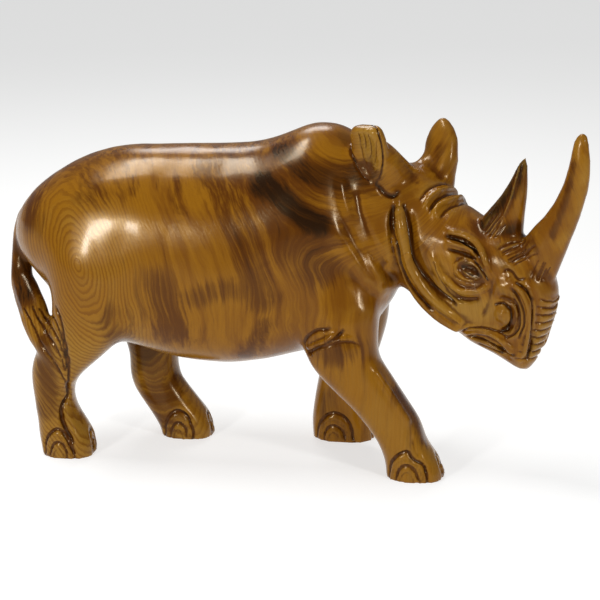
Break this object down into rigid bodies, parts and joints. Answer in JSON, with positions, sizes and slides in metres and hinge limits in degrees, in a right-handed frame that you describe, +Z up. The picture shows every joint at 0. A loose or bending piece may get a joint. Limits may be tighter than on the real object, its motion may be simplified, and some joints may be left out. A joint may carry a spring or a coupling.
{
  "type": "rhinoceros figurine",
  "caption": "Carved wooden rhinoceros in a walking pose with its head lowered and turned to its right; it stands free on the flat soles of its feet.",
  "frame": {"origin": "on the ground under the middle of the figurine's bounds, level with the soles", "axes": "+X the way the rhinoceros walks, +Y to its left, +Z up"},
  "size_m": [0.2932, 0.0908, 0.1775],
  "materials": {
    "wood": "glossy clear lacquer over amber and dark brown streaked wood"
  },
  "bodies": {
    "root": {"rhinoceros_figurine": "wood"}
  },
  "joints": []
}
